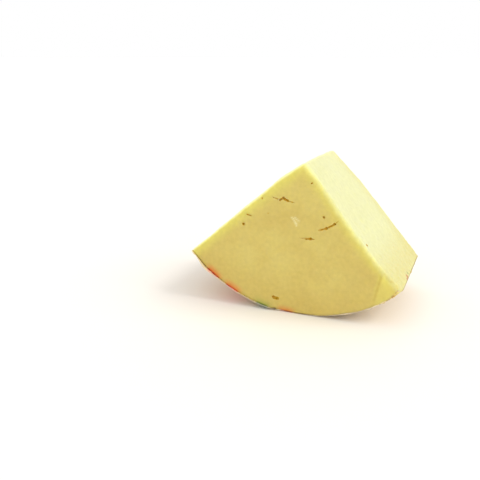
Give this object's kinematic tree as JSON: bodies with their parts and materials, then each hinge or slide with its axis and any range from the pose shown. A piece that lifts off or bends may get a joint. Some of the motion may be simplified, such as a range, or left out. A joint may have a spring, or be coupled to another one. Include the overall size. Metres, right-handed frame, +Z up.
{
  "type": "cheese wedge",
  "caption": "Quarter-round wedge of firm pale yellow cheese with cut faces, small eyes and slits, lying on its curved rind wrapped in thin printed film.",
  "frame": {"origin": "on the surface that the wedge lies on, in the middle of its footprint box", "axes": "+Z up towards the wedge's tip; the front cut face looks along -Y; the right-hand radial cut looks up and along +X"},
  "size_m": [0.1264, 0.073, 0.0869],
  "materials": {
    "cheese_paste": "satin",
    "printed_film": "gloss"
  },
  "bodies": {
    "root": {"cheese": "cheese_paste", "rind_film": "printed_film"}
  },
  "joints": []
}
